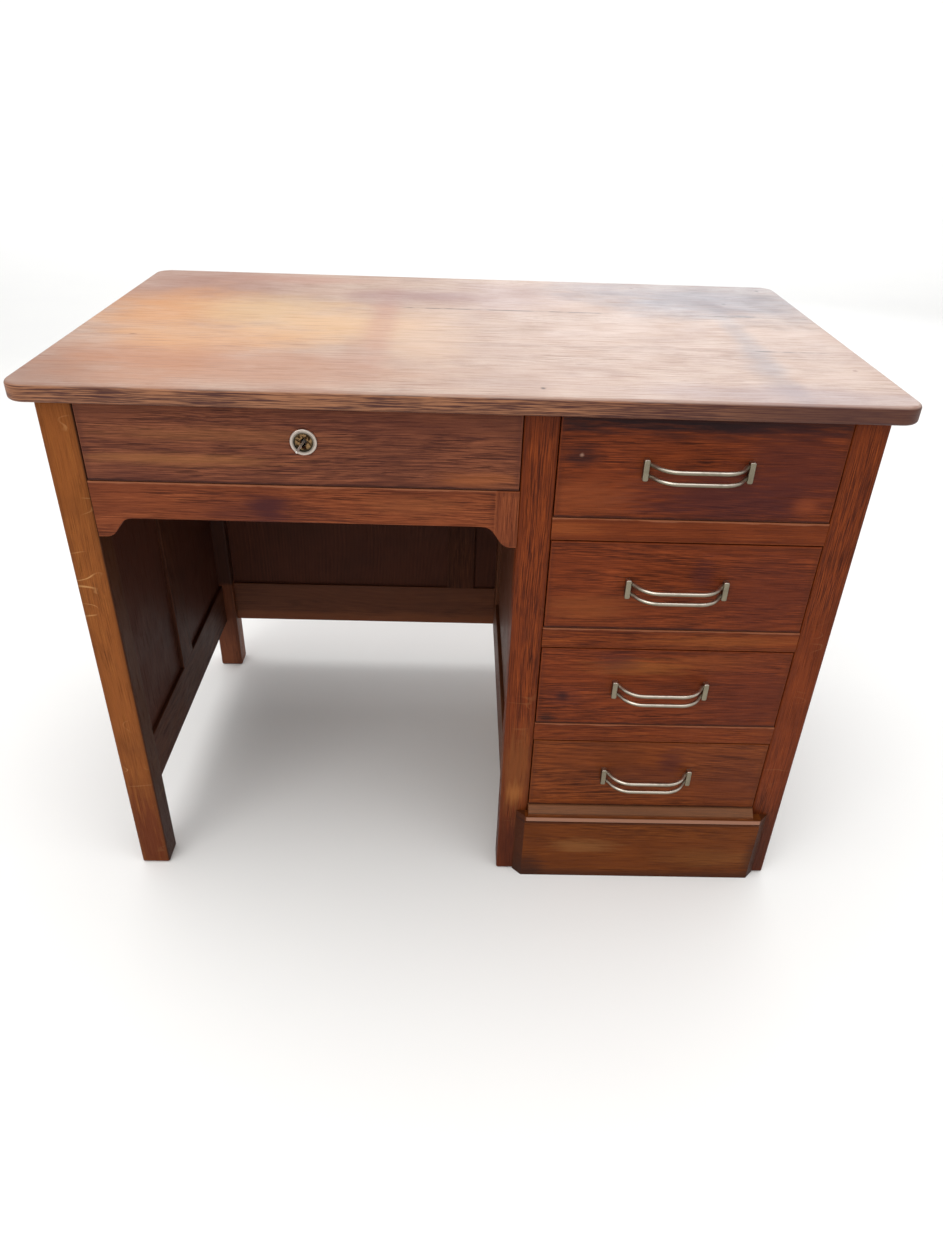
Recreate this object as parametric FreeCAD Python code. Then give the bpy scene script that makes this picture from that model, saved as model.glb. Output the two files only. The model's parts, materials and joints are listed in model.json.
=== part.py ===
import FreeCAD, Part
import math
import os

# Oak teacher's desk: a knee hole with one lockable drawer on the left, a pedestal of four drawers
# on the right. Millimetres, +Z up, the front faces -Y. The origin is on the floor, under the centre
# of the box that holds the whole desk with its handles.

os.makedirs("parts", exist_ok=True)
V = FreeCAD.Vector

# ---------------------------------------------------------------- driving dimensions
DESK_HEIGHT = 770.0
TOP_LENGTH, TOP_DEPTH, TOP_THICKNESS = 1036.0, 625.0, 22.0
TOP_CORNER_RADIUS = 25.0
TOP_UPPER_ARRIS, TOP_LOWER_ARRIS = 5.0, 4.0
TOP_SEAM = 0.3                        # open glue line between the top's boards
TOP_BOARD_SPLIT = (0.345, 0.645)      # where the seams lie, as shares of the top's depth
FRONT_OVERHANG, REAR_OVERHANG = 22.0, 18.0
FRAME_WIDTH = 984.0                   # outer face to outer face of the corner legs

LEG_WIDTH, LEG_DEPTH = 42.0, 40.0
LEG_ARRIS, LEG_FOOT_BEVEL = 3.5, 3.0
KNEE_OPENING = 516.0                  # clear width between the two legs of the knee hole
ARRIS = 1.5                           # softened edge of the planed oak

PANEL_FRAME_THICKNESS = 20.0          # rails, muntins and stiles of the sides and the back
PANEL_FRAME_SETBACK = 2.0             # side frames, from the outer face of the legs
BACK_FRAME_SETBACK = 6.0              # back frame, from the rear face of the legs
PEDESTAL_SIDE_SETBACK = 5.0           # inner pedestal side, from the knee-hole face of its leg
PANEL_RAIL_HEIGHT = 83.0
PANEL_RAIL_BOTTOM = 106.0             # floor to the lower rails
SIDE_MUNTIN = (-22.0, 36.0)           # run in Y of the upright in the middle of each side
BACK_MUNTIN = (-23.5, 29.0)           # run in X of the upright in the middle of the back
STILE_WIDTH = 62.0                    # rear stile of the pedestal's inner side
PANEL_THICKNESS, PANEL_GROOVE = 8.0, 8.0
TENON_THICKNESS, TENON_LENGTH, TENON_SHOULDER = 8.0, 20.0, 10.0

FRONT_RAIL_HEIGHT, FRONT_RAIL_DEPTH = 30.0, 24.0
FRONT_RAIL_SHOULDER = 5.0             # tenon's edge from the rail's edge
PEDESTAL_FRONTS = (134.0, 130.0, 130.0, 126.0)      # openings of the pedestal drawers, top first
KNEE_DRAWER_OPENING = 101.0
KNEE_RAIL_HEIGHT, KNEE_RAIL_DEPTH = 48.0, 22.0
BRACKET_LENGTH = 44.0
BRACKET_SLOPE = 1.5                   # rise over run where the ogee turns
LEFT_BRACKET_DROP, LEFT_BRACKET_FLAT = 25.0, 9.0
RIGHT_BRACKET_DROP, RIGHT_BRACKET_FLAT = 27.5, 6.6
BRACKET_BLOCK_LENGTH = 28.0           # the block glued on at the right end of the knee rail

PLINTH_HEIGHT, PLINTH_THICKNESS = 126.0, 13.0
PLINTH_LAP_LEFT, PLINTH_LAP_RIGHT = 17.0, 25.0      # how far the plinth board covers each leg
BEAD_RADIUS, BEAD_CENTRE = 4.0, 121.5               # half-round moulding along its top
STRIP_BOTTOM, STRIP_TOP, STRIP_REACH = 113.0, 116.5, 1.8        # flat strip under the bead
SILL_LIP, SILL_STEP = 4.0, 2.0        # upright edge of the sill's nose, and its small ledges

DRAWER_FRONT_THICKNESS = 20.0
DRAWER_DEPTH = 490.0
DRAWER_TRAVEL = 380.0
DRAWER_SIDE_THICKNESS, DRAWER_BACK_THICKNESS, DRAWER_BOTTOM_THICKNESS = 12.0, 12.0, 5.0
DRAWER_SIDE_DROP = 9.0                # sides stop this far below the top of the front
DRAWER_BOTTOM_HEIGHT = 9.0            # underside of the bottom board above the drawer's lower edge
GAP_SIDE, GAP_ABOVE, GAP_BELOW = 1.0, 1.8, 0.8
SIDE_CLEARANCE = 1.5                  # each drawer side to its guide
TAIL_LENGTH, TAIL_SHARE, TAIL_FLARE, TAILS = 13.0, 0.6, 2.5, 3
RUNNER_HEIGHT, RUNNER_LEDGE = 14.0, 15.0
GUIDE_HEIGHT = 22.0

HANDLE_SPACING = 125.0                # centre to centre of the two end plates
HANDLE_SHIFT = (-3.5, -5.0, -3.5, -1.5)             # each handle from the middle of its drawer
HANDLE_REACH = 29.0                   # drawer face to the rods' centre line
ROD_RADIUS, ROD_SPACING = 2.6, 14.5
ROD_STRAIGHT = 86.0                   # where the rods' two slopes would meet the straight middle
ROD_BEND, ROD_FOOT_BEND, ROD_ROOT = 32.0, 4.0, 4.2
ROD_PAST_CENTRE, ROD_FOOT_GAP = 1.0, 1.5            # a rod's end in its plate, its bend off the plate
PLATE_WIDTH, PLATE_HEIGHT, PLATE_DEPTH = 7.0, 27.0, 8.0
PLATE_CORNER, PLATE_EDGE = 2.2, 1.0
SCREW_RADIUS, SCREW_HEAD_RADIUS, SCREW_HEAD_HEIGHT = 2.0, 4.2, 2.4
SCREW_SLOT, SCREW_DOME = 0.9, 1.7
SCREW_BITE = 5.5                      # how deep a screw enters its end plate

LOCK_BELOW_TOP = 45.0                 # top's underside to the keyhole's centre
LOCK_SHIFT = 2.6                      # keyhole from the middle of the knee drawer
RING_RADIUS, RING_INNER_RADIUS, RING_REACH, RING_ROUND = 16.0, 11.5, 2.4, 1.4
KEY_PLATE_THICKNESS = 1.2
KEYHOLE_RADIUS, KEYHOLE_DROP, KEYHOLE_FLARE = 4.0, 8.5, 2.75
PIN_RADIUS = 1.4
PIN_LEAN = V(-3.5, -30.0, -1.5)       # the bent drill pin, from the drawer's face to its tip
CASE_WIDTH, CASE_DEPTH, CASE_WALL = 62.0, 11.0, 1.6
CASE_BELOW_KEYHOLE = 22.0
BOLT_WIDTH, BOLT_DEPTH, BOLT_LENGTH = 16.0, 5.0, 30.0
BOLT_TRAVEL, BOLT_CLEARANCE, MORTISE_CLEARANCE = 8.0, 0.4, 1.0

# ---------------------------------------------------------------- derived positions
HANDLE_FRONT = HANDLE_REACH + ROD_RADIUS
FRONT = -(TOP_DEPTH - FRONT_OVERHANG - HANDLE_FRONT) / 2          # front faces of the legs
FRAME_DEPTH = TOP_DEPTH - FRONT_OVERHANG - REAR_OVERHANG
REAR = FRONT + FRAME_DEPTH
LEFT, RIGHT = -FRAME_WIDTH / 2, FRAME_WIDTH / 2
UNDERSIDE = DESK_HEIGHT - TOP_THICKNESS
KNEE_LEFT = LEFT + LEG_WIDTH
KNEE_RIGHT = KNEE_LEFT + KNEE_OPENING                             # left face of the centre leg
PEDESTAL_LEFT = KNEE_RIGHT + LEG_WIDTH
PEDESTAL_RIGHT = RIGHT - LEG_WIDTH
KNEE_RAIL_TOP = UNDERSIDE - KNEE_DRAWER_OPENING
KNEE_RAIL_BOTTOM = KNEE_RAIL_TOP - KNEE_RAIL_HEIGHT
BACK_FRAME_FRONT = REAR - BACK_FRAME_SETBACK - PANEL_FRAME_THICKNESS
REAR_LEG_FRONT = REAR - LEG_DEPTH
PANEL_RAIL_TOP = PANEL_RAIL_BOTTOM + PANEL_RAIL_HEIGHT
LEFT_FRAME_X = LEFT + PANEL_FRAME_SETBACK
RIGHT_FRAME_X = RIGHT - PANEL_FRAME_SETBACK - PANEL_FRAME_THICKNESS
PEDESTAL_SIDE_X = KNEE_RIGHT + PEDESTAL_SIDE_SETBACK
LOCK_X = (KNEE_LEFT + KNEE_RIGHT) / 2 + LOCK_SHIFT
LOCK_Z = UNDERSIDE - LOCK_BELOW_TOP
BOLT_Y = FRONT + DRAWER_FRONT_THICKNESS - CASE_DEPTH / 2

nodes = {}


# ---------------------------------------------------------------- small helpers
def block(x0, x1, y0, y1, z0, z1):
    """A straight board between two corners."""
    return Part.makeBox(x1 - x0, y1 - y0, z1 - z0, V(x0, y0, z0))


def eased(board, axis, radius=ARRIS):
    """The board with its edges along one axis softly rounded."""
    direction = {"x": V(1, 0, 0), "y": V(0, 1, 0), "z": V(0, 0, 1)}[axis]
    edges = []
    for edge in board.Edges:
        along = edge.Vertexes[-1].Point.sub(edge.Vertexes[0].Point)
        if abs(abs(along.dot(direction)) - along.Length) < 1e-6:
            edges.append(edge)
    return board.makeFillet(radius, edges)


def prism_x(points, x0, x1):
    """A closed outline in Y and Z, drawn out along X."""
    wire = Part.makePolygon([V(x0, y, z) for y, z in points + points[:1]])
    return Part.Face(wire).extrude(V(x1 - x0, 0, 0))


def rod_y(x, z, y0, y1, radius):
    """A round bar along Y."""
    return Part.makeCylinder(radius, y1 - y0, V(x, y0, z), V(0, 1, 0))


def group(*solids):
    """Separate solids that share one node."""
    return Part.makeCompound([solid for shape in solids for solid in shape.Solids])


def cut_all(names, tools):
    """Cut the same tools out of several nodes."""
    for name in names:
        nodes[name] = nodes[name].cut(tools)


# ---------------------------------------------------------------- top
def make_top():
    """Three boards edge to edge, cut from one slab with round corners and soft arrises."""
    y0, y1 = FRONT - FRONT_OVERHANG, FRONT - FRONT_OVERHANG + TOP_DEPTH
    x0, x1 = -TOP_LENGTH / 2, TOP_LENGTH / 2
    slab = eased(block(x0, x1, y0, y1, UNDERSIDE, DESK_HEIGHT), "z", TOP_CORNER_RADIUS)
    for level, radius in ((DESK_HEIGHT, TOP_UPPER_ARRIS), (UNDERSIDE, TOP_LOWER_ARRIS)):
        rim = [e for e in slab.Edges if all(abs(v.Z - level) < 1e-6 for v in e.Vertexes)]
        slab = slab.makeFillet(radius, rim)
    seams = [y0 + share * TOP_DEPTH for share in TOP_BOARD_SPLIT]
    starts = [y0 - 1] + [seam + TOP_SEAM / 2 for seam in seams]
    ends = [seam - TOP_SEAM / 2 for seam in seams] + [y1 + 1]
    for name, start, end in zip(("front", "middle", "rear"), starts, ends):
        strip = block(x0 - 1, x1 + 1, start, end, UNDERSIDE - 1, DESK_HEIGHT + 1)
        nodes["top_board_" + name] = slab.common(strip)


# ---------------------------------------------------------------- legs
def make_legs():
    """Five square oak legs with softened arrises and bevelled feet."""
    places = {
        "front_left_leg": (LEFT, FRONT),
        "front_centre_leg": (KNEE_RIGHT, FRONT),
        "front_right_leg": (PEDESTAL_RIGHT, FRONT),
        "rear_left_leg": (LEFT, REAR_LEG_FRONT),
        "rear_right_leg": (PEDESTAL_RIGHT, REAR_LEG_FRONT),
    }
    for name, (x, y) in places.items():
        leg = eased(block(x, x + LEG_WIDTH, y, y + LEG_DEPTH, 0, UNDERSIDE), "z", LEG_ARRIS)
        foot = [e for e in leg.Edges if all(abs(v.Z) < 1e-6 for v in e.Vertexes)]
        nodes[name] = leg.makeChamfer(LEG_FOOT_BEVEL, foot)


# ---------------------------------------------------------------- frame-and-panel sides and back
def member(plane, along, across, level, tenons=()):
    """One member of a panelled frame, with tenons on the named ends.

    plane is ("x", x) for a side frame or ("y", y) for the back frame; along is the run in the other
    horizontal axis, level the run in Z. Tenons named "start" and "end" extend along, "up" and "down"
    extend the level.
    """
    kind, near = plane
    far = near + PANEL_FRAME_THICKNESS
    middle = (near + far) / 2
    grain = "z" if across else {"x": "y", "y": "x"}[kind]

    def place(thick0, thick1, run0, run1, z0, z1):
        if kind == "x":
            return block(thick0, thick1, run0, run1, z0, z1)
        return block(run0, run1, thick0, thick1, z0, z1)

    body = eased(place(near, far, along[0], along[1], level[0], level[1]), grain)
    half = TENON_THICKNESS / 2
    inner_level = (level[0] + TENON_SHOULDER, level[1] - TENON_SHOULDER)
    inner_along = (along[0] + TENON_SHOULDER, along[1] - TENON_SHOULDER)
    reach = {
        "start": (along[0] - TENON_LENGTH, along[0] + 1, *inner_level),
        "end": (along[1] - 1, along[1] + TENON_LENGTH, *inner_level),
        "down": (*inner_along, level[0] - TENON_LENGTH, level[0] + 1),
        "up": (*inner_along, level[1] - 1, level[1] + TENON_LENGTH),
    }
    for end in tenons:
        body = body.fuse(place(middle - half, middle + half, *reach[end]))
    return body.removeSplitter()


def panel(plane, along, level):
    """A thin panel whose four edges stand in grooves."""
    kind, near = plane
    thick0 = near + (PANEL_FRAME_THICKNESS - PANEL_THICKNESS) / 2
    thick1 = thick0 + PANEL_THICKNESS
    run0, run1 = along[0] - PANEL_GROOVE, along[1] + PANEL_GROOVE
    z0, z1 = level[0] - PANEL_GROOVE, level[1] + PANEL_GROOVE
    if kind == "x":
        return block(thick0, thick1, run0, run1, z0, z1)
    return block(run0, run1, thick0, thick1, z0, z1)


def make_frame(prefix, plane, along, muntin, posts):
    """Top and bottom rail, a muntin between them and two panels, let into the posts at both ends."""
    lower = (PANEL_RAIL_BOTTOM, PANEL_RAIL_TOP)
    upper = (UNDERSIDE - PANEL_RAIL_HEIGHT, UNDERSIDE)
    field = (lower[1], upper[0])
    names = {part: prefix + part for part in ("_top_rail", "_bottom_rail", "_muntin", "_panels")}
    nodes[names["_bottom_rail"]] = member(plane, along, False, lower, ("start", "end"))
    nodes[names["_top_rail"]] = member(plane, along, False, upper, ("start", "end"))
    nodes[names["_muntin"]] = member(plane, muntin, True, field, ("up", "down"))
    panels = group(panel(plane, (along[0], muntin[0]), field), panel(plane, (muntin[1], along[1]), field))
    nodes[names["_panels"]] = panels
    rails = [names["_top_rail"], names["_bottom_rail"]]
    cut_all(rails, nodes[names["_muntin"]])
    cut_all(rails + [names["_muntin"]] + posts, panels)
    for rail in rails:
        cut_all(posts, nodes[rail])


def make_pedestal_side():
    """The pedestal's inner side: two rails and one panel between the centre leg and a rear stile."""
    plane = ("x", PEDESTAL_SIDE_X)
    stile = (BACK_FRAME_FRONT - STILE_WIDTH, BACK_FRAME_FRONT)
    along = (FRONT + LEG_DEPTH, stile[0])
    lower = (PANEL_RAIL_BOTTOM, PANEL_RAIL_TOP)
    upper = (UNDERSIDE - PANEL_RAIL_HEIGHT, UNDERSIDE)
    nodes["pedestal_side_rear_stile"] = member(plane, stile, True, (lower[0], upper[1]))
    nodes["pedestal_side_bottom_rail"] = member(plane, along, False, lower, ("start", "end"))
    nodes["pedestal_side_top_rail"] = member(plane, along, False, upper, ("start", "end"))
    nodes["pedestal_side_panel"] = panel(plane, along, (lower[1], upper[0]))
    rails = ["pedestal_side_bottom_rail", "pedestal_side_top_rail"]
    uprights = ["pedestal_side_rear_stile", "front_centre_leg"]
    cut_all(rails + uprights, nodes["pedestal_side_panel"])
    for rail in rails:
        cut_all(uprights, nodes[rail])


def make_carcass():
    """Both sides, the back and the pedestal's inner side."""
    depth_run = (FRONT + LEG_DEPTH, REAR_LEG_FRONT)
    make_frame("left_side", ("x", LEFT_FRAME_X), depth_run, SIDE_MUNTIN,
               ["front_left_leg", "rear_left_leg"])
    make_frame("right_side", ("x", RIGHT_FRAME_X), depth_run, SIDE_MUNTIN,
               ["front_right_leg", "rear_right_leg"])
    make_frame("back", ("y", BACK_FRAME_FRONT), (KNEE_LEFT, PEDESTAL_RIGHT), BACK_MUNTIN,
               ["rear_left_leg", "rear_right_leg"])
    make_pedestal_side()


# ---------------------------------------------------------------- front rails and plinth
def front_rail(x0, x1, z0, z1, depth):
    """A rail flush with the front of the legs, with a tenon into the leg at each end."""
    body = eased(block(x0, x1, FRONT, FRONT + depth, z0, z1), "x", ARRIS / 2)
    middle = FRONT + depth / 2
    tenon = block(x0 - TENON_LENGTH / 2, x1 + TENON_LENGTH / 2, middle - TENON_THICKNESS / 2,
                  middle + TENON_THICKNESS / 2, z0 + FRONT_RAIL_SHOULDER, z1 - FRONT_RAIL_SHOULDER)
    return body.fuse(tenon).removeSplitter()


def bracket(post_x, toward, drop, flat):
    """The ogee corner bracket's outline, drawn out over the knee rail's depth, up to the rail's top.

    toward is +1 where the bracket runs to the right of its leg and -1 where it runs to the left.
    """
    low = KNEE_RAIL_BOTTOM - drop

    def at(run, z):
        return V(post_x + toward * run, FRONT, z)

    start = at(flat, low)
    turn = at((flat + BRACKET_LENGTH) / 2, low + drop / 2)
    end = at(BRACKET_LENGTH, KNEE_RAIL_BOTTOM)
    curve = Part.BSplineCurve()
    level, steep = V(toward, 0, 0), V(toward, 0, BRACKET_SLOPE)
    curve.interpolate([start, turn, end], Tangents=[level, steep, level], TangentFlags=[True, True, True])
    outline = Part.Wire([
        Part.makeLine(at(0, KNEE_RAIL_TOP), at(0, low)),
        Part.makeLine(at(0, low), start),
        curve.toShape(),
        Part.makeLine(end, at(BRACKET_LENGTH, KNEE_RAIL_TOP)),
        Part.makeLine(at(BRACKET_LENGTH, KNEE_RAIL_TOP), at(0, KNEE_RAIL_TOP)),
    ])
    return Part.Face(outline).extrude(V(0, KNEE_RAIL_DEPTH, 0))


def make_knee_rail():
    """The rail under the knee drawer, cut with its left bracket, and the right bracket's block."""
    seam = KNEE_RIGHT - BRACKET_BLOCK_LENGTH
    straight = front_rail(KNEE_LEFT, KNEE_RIGHT, KNEE_RAIL_BOTTOM, KNEE_RAIL_TOP, KNEE_RAIL_DEPTH)
    left = bracket(KNEE_LEFT, 1, LEFT_BRACKET_DROP, LEFT_BRACKET_FLAT)
    right = bracket(KNEE_RIGHT, -1, RIGHT_BRACKET_DROP, RIGHT_BRACKET_FLAT)
    whole = straight.fuse([left, right]).removeSplitter()
    beyond = block(seam, KNEE_RIGHT + LEG_WIDTH, FRONT - 1, FRONT + KNEE_RAIL_DEPTH + 1, 0, UNDERSIDE)
    nodes["knee_rail"] = whole.cut(beyond)
    nodes["knee_rail_bracket_block"] = whole.common(beyond)
    cut_all(["front_left_leg"], nodes["knee_rail"])
    cut_all(["front_centre_leg"], nodes["knee_rail_bracket_block"])


def drawer_openings():
    """Bottom and top level of each pedestal drawer opening, top drawer first."""
    top = UNDERSIDE
    openings = []
    for height in PEDESTAL_FRONTS:
        openings.append((top - height, top))
        top -= height + FRONT_RAIL_HEIGHT
    return openings


def make_pedestal_front():
    """Three rails between the drawers and a moulded sill rail over the plinth board."""
    openings = drawer_openings()
    for number, (bottom, _) in enumerate(openings[:-1], start=1):
        name = "pedestal_rail_%d" % number
        nodes[name] = front_rail(PEDESTAL_LEFT, PEDESTAL_RIGHT, bottom - FRONT_RAIL_HEIGHT, bottom,
                                 FRONT_RAIL_DEPTH)
        cut_all(["front_centre_leg", "front_right_leg"], nodes[name])
    sill_top = openings[-1][0]
    sill = front_rail(PEDESTAL_LEFT, PEDESTAL_RIGHT, sill_top - FRONT_RAIL_HEIGHT, sill_top,
                      FRONT_RAIL_DEPTH)
    nose_y, lip_top = FRONT - PLINTH_THICKNESS, PLINTH_HEIGHT + SILL_LIP
    nose = prism_x([(FRONT + SILL_STEP, PLINTH_HEIGHT), (FRONT + SILL_STEP, sill_top),
                    (FRONT - SILL_STEP, sill_top), (nose_y + SILL_STEP, lip_top),
                    (nose_y, lip_top), (nose_y, PLINTH_HEIGHT)],
                   PEDESTAL_LEFT + GAP_BELOW, PEDESTAL_RIGHT - GAP_BELOW)
    nodes["pedestal_sill_rail"] = sill.fuse(nose).removeSplitter()
    cut_all(["front_centre_leg", "front_right_leg"], sill)


def make_plinth():
    """The plinth board: ends bevelled back to the legs, a bead over a flat strip along its top."""
    x0, x1 = PEDESTAL_LEFT - PLINTH_LAP_LEFT, PEDESTAL_RIGHT + PLINTH_LAP_RIGHT
    face = FRONT - PLINTH_THICKNESS

    def bevelled(reach, z0, z1):
        """A layer of the board, reaching forward from the legs, between two levels."""
        corners = [V(x0, FRONT, z0), V(x1, FRONT, z0), V(x1 - reach, FRONT - reach, z0),
                   V(x0 + reach, FRONT - reach, z0)]
        return Part.Face(Part.makePolygon(corners + corners[:1])).extrude(V(0, 0, z1 - z0))

    board = bevelled(PLINTH_THICKNESS, 0, PLINTH_HEIGHT)
    strip = bevelled(PLINTH_THICKNESS + STRIP_REACH, STRIP_BOTTOM, STRIP_TOP)
    bar = Part.makeCylinder(BEAD_RADIUS, x1 - x0, V(x0, face, BEAD_CENTRE), V(1, 0, 0))
    bead = bar.common(bevelled(PLINTH_THICKNESS + BEAD_RADIUS + ARRIS, 0, PLINTH_HEIGHT))
    nodes["plinth_board"] = board.fuse([strip, bead]).removeSplitter()


# ---------------------------------------------------------------- runners and guides
def make_runners():
    """Runners under the drawer sides, and guides beside them, screwed to the side frames."""
    y0, y1 = FRONT + LEG_DEPTH, REAR_LEG_FRONT
    wall_left = PEDESTAL_SIDE_X + PANEL_FRAME_THICKNESS
    wall_right = RIGHT_FRAME_X
    runners, guides = [], []
    for bottom, _ in drawer_openings():
        z0, z1 = bottom - RUNNER_HEIGHT, bottom
        runners.append(block(wall_left, PEDESTAL_LEFT + RUNNER_LEDGE, y0, y1, z0, z1))
        runners.append(block(PEDESTAL_RIGHT - RUNNER_LEDGE, wall_right, y0, y1, z0, z1))
        guides.append(block(wall_left, PEDESTAL_LEFT, y0, y1, z1, z1 + GUIDE_HEIGHT))
        guides.append(block(PEDESTAL_RIGHT, wall_right, y0, y1, z1, z1 + GUIDE_HEIGHT))
    z0, z1 = KNEE_RAIL_TOP - RUNNER_HEIGHT, KNEE_RAIL_TOP
    knee_wall = LEFT_FRAME_X + PANEL_FRAME_THICKNESS
    runners.append(block(knee_wall, KNEE_LEFT + RUNNER_LEDGE, y0, y1, z0, z1))
    runners.append(block(KNEE_RIGHT - RUNNER_LEDGE, PEDESTAL_SIDE_X, y0, y1, z0, z1))
    guides.append(block(knee_wall, KNEE_LEFT, y0, y1, z1, z1 + GUIDE_HEIGHT))
    guides.append(block(KNEE_RIGHT, PEDESTAL_SIDE_X, y0, y1, z1, z1 + GUIDE_HEIGHT))
    nodes["drawer_runners"] = group(*[eased(strip, "y", ARRIS / 2) for strip in runners])
    nodes["drawer_guides"] = group(*[eased(strip, "y", ARRIS / 2) for strip in guides])


# ---------------------------------------------------------------- drawers
def tail(x0, x1, shoulder, centre_z, height):
    """One dovetail on the front end of a drawer side, wider at its tip."""
    tip = shoulder - TAIL_LENGTH
    wide, narrow = height / 2, height / 2 - TAIL_FLARE
    return prism_x([(tip, centre_z - wide), (shoulder + 1, centre_z - narrow),
                    (shoulder + 1, centre_z + narrow), (tip, centre_z + wide)], x0, x1)


def drawer_side(x0, x1, z0, z1):
    """A drawer side, with its top edge softened and dovetails at the front."""
    shoulder = FRONT + DRAWER_FRONT_THICKNESS
    side = block(x0, x1, shoulder, FRONT + DRAWER_DEPTH, z0, z1)
    rims = [e for e in side.Edges if all(abs(v.Z - z1) < 1e-6 for v in e.Vertexes)
            and abs(e.Vertexes[0].X - e.Vertexes[1].X) < 1e-6]
    side = side.makeFillet(ARRIS, rims)
    pitch = (z1 - z0) / TAILS
    tails = [tail(x0, x1, shoulder, z0 + pitch * (n + 0.5), pitch * TAIL_SHARE) for n in range(TAILS)]
    return side.fuse(tails).removeSplitter()


def make_drawer(name, left, right, bottom, top):
    """Front, two dovetailed sides, back and grooved bottom board of one drawer."""
    x0, x1 = left + GAP_SIDE, right - GAP_SIDE
    z0, z1 = bottom + GAP_BELOW, top - GAP_ABOVE
    front = block(x0, x1, FRONT, FRONT + DRAWER_FRONT_THICKNESS, z0, z1)
    face_rim = [e for e in front.Edges if all(abs(v.Y - FRONT) < 1e-6 for v in e.Vertexes)]
    front = front.makeFillet(ARRIS, face_rim)
    side_left, side_right = left + SIDE_CLEARANCE + GAP_SIDE, right - SIDE_CLEARANCE - GAP_SIDE
    inner_left, inner_right = side_left + DRAWER_SIDE_THICKNESS, side_right - DRAWER_SIDE_THICKNESS
    side_top = z1 - DRAWER_SIDE_DROP
    sides = group(drawer_side(side_left, inner_left, z0, side_top),
                  drawer_side(inner_right, side_right, z0, side_top))
    rear = FRONT + DRAWER_DEPTH
    back_bottom = z0 + DRAWER_BOTTOM_HEIGHT + DRAWER_BOTTOM_THICKNESS
    back = block(inner_left, inner_right, rear - DRAWER_BACK_THICKNESS, rear,
                 back_bottom, side_top - ARRIS)
    groove = DRAWER_SIDE_THICKNESS / 3
    board = block(inner_left - groove, inner_right + groove,
                  FRONT + DRAWER_FRONT_THICKNESS - 2 * groove, rear, z0 + DRAWER_BOTTOM_HEIGHT, back_bottom)
    nodes[name + "_front"] = front.cut([board, sides])
    nodes[name + "_sides"] = sides.cut(board)
    nodes[name + "_back"] = eased(back, "x", ARRIS)
    nodes[name + "_bottom"] = board


# ---------------------------------------------------------------- handles
def rod_path(centre_x, z):
    """The line of one handle rod in plan: out of one end plate, forward, across and back."""
    root_y, bow_y = FRONT - ROD_ROOT, FRONT - HANDLE_REACH
    plate_x = HANDLE_SPACING / 2
    foot_x = plate_x - PLATE_WIDTH / 2 - ROD_FOOT_GAP
    half = [V(-plate_x - ROD_PAST_CENTRE, root_y, z), V(-foot_x, root_y, z),
            V(-ROD_STRAIGHT / 2, bow_y, z)]
    points = half + [V(-p.x, p.y, z) for p in reversed(half)]
    points = [V(p.x + centre_x, p.y, z) for p in points]
    bends = [ROD_FOOT_BEND, ROD_BEND, ROD_BEND, ROD_FOOT_BEND]
    edges, last = [], points[0]
    for before, corner, after, radius in zip(points, points[1:], points[2:], bends):
        back, ahead = before.sub(corner).normalize(), after.sub(corner).normalize()
        half_turn = (math.pi - back.getAngle(ahead)) / 2
        run = radius * math.tan(half_turn)
        start, end = corner + back * run, corner + ahead * run
        inward = (back + ahead).normalize()
        middle = corner + inward * (radius / math.cos(half_turn) - radius)
        edges += [Part.makeLine(last, start), Part.Arc(start, middle, end).toShape()]
        last = end
    return Part.Wire(edges + [Part.makeLine(last, points[-1])])


def make_rod(centre_x, z):
    """One bent round rod."""
    path = rod_path(centre_x, z)
    start = path.OrderedVertexes[0].Point
    ring = Part.Wire(Part.makeCircle(ROD_RADIUS, start, V(1, 0, 0)))
    return path.makePipeShell([ring], True, False)


def make_screw(x, z):
    """A round-headed wood-front screw from inside the drawer into an end plate."""
    inside = FRONT + DRAWER_FRONT_THICKNESS
    shank = rod_y(x, z, FRONT - SCREW_BITE, inside, SCREW_RADIUS)
    head = rod_y(x, z, inside, inside + SCREW_HEAD_HEIGHT, SCREW_HEAD_RADIUS)
    rim = [e for e in head.Edges if e.Vertexes[0].Y > inside + 1 and len(e.Vertexes) == 1]
    head = head.makeFillet(SCREW_DOME, rim)
    slot = block(x - SCREW_HEAD_RADIUS, x + SCREW_HEAD_RADIUS, inside + SCREW_HEAD_HEIGHT - SCREW_SLOT,
                 inside + SCREW_HEAD_HEIGHT + 1, z - SCREW_SLOT / 2, z + SCREW_SLOT / 2)
    return shank.fuse(head).removeSplitter().cut(slot)


def make_handle(number, opening):
    """Two end plates, two bowed rods and two screws, near the middle of a drawer front."""
    centre_x = (PEDESTAL_LEFT + PEDESTAL_RIGHT) / 2 + HANDLE_SHIFT[number - 1]
    centre_z = (opening[0] + opening[1]) / 2
    rods = [make_rod(centre_x, centre_z + side * ROD_SPACING / 2) for side in (1, -1)]
    plates, screws = [], []
    for side in (-1, 1):
        x = centre_x + side * HANDLE_SPACING / 2
        plate = block(x - PLATE_WIDTH / 2, x + PLATE_WIDTH / 2, FRONT - PLATE_DEPTH, FRONT,
                      centre_z - PLATE_HEIGHT / 2, centre_z + PLATE_HEIGHT / 2)
        plate = eased(plate, "y", PLATE_CORNER)
        outer = [e for e in plate.Edges if all(abs(v.Y - FRONT) > 1e-6 for v in e.Vertexes)]
        screws.append(make_screw(x, centre_z))
        plates.append(plate.makeFillet(PLATE_EDGE, outer).cut(rods + screws[-1:]))
    nodes["drawer_%d_handle" % number] = group(*plates, *rods, *screws)
    cut_all(["drawer_%d_front" % number], Part.makeCompound(screws))


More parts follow.
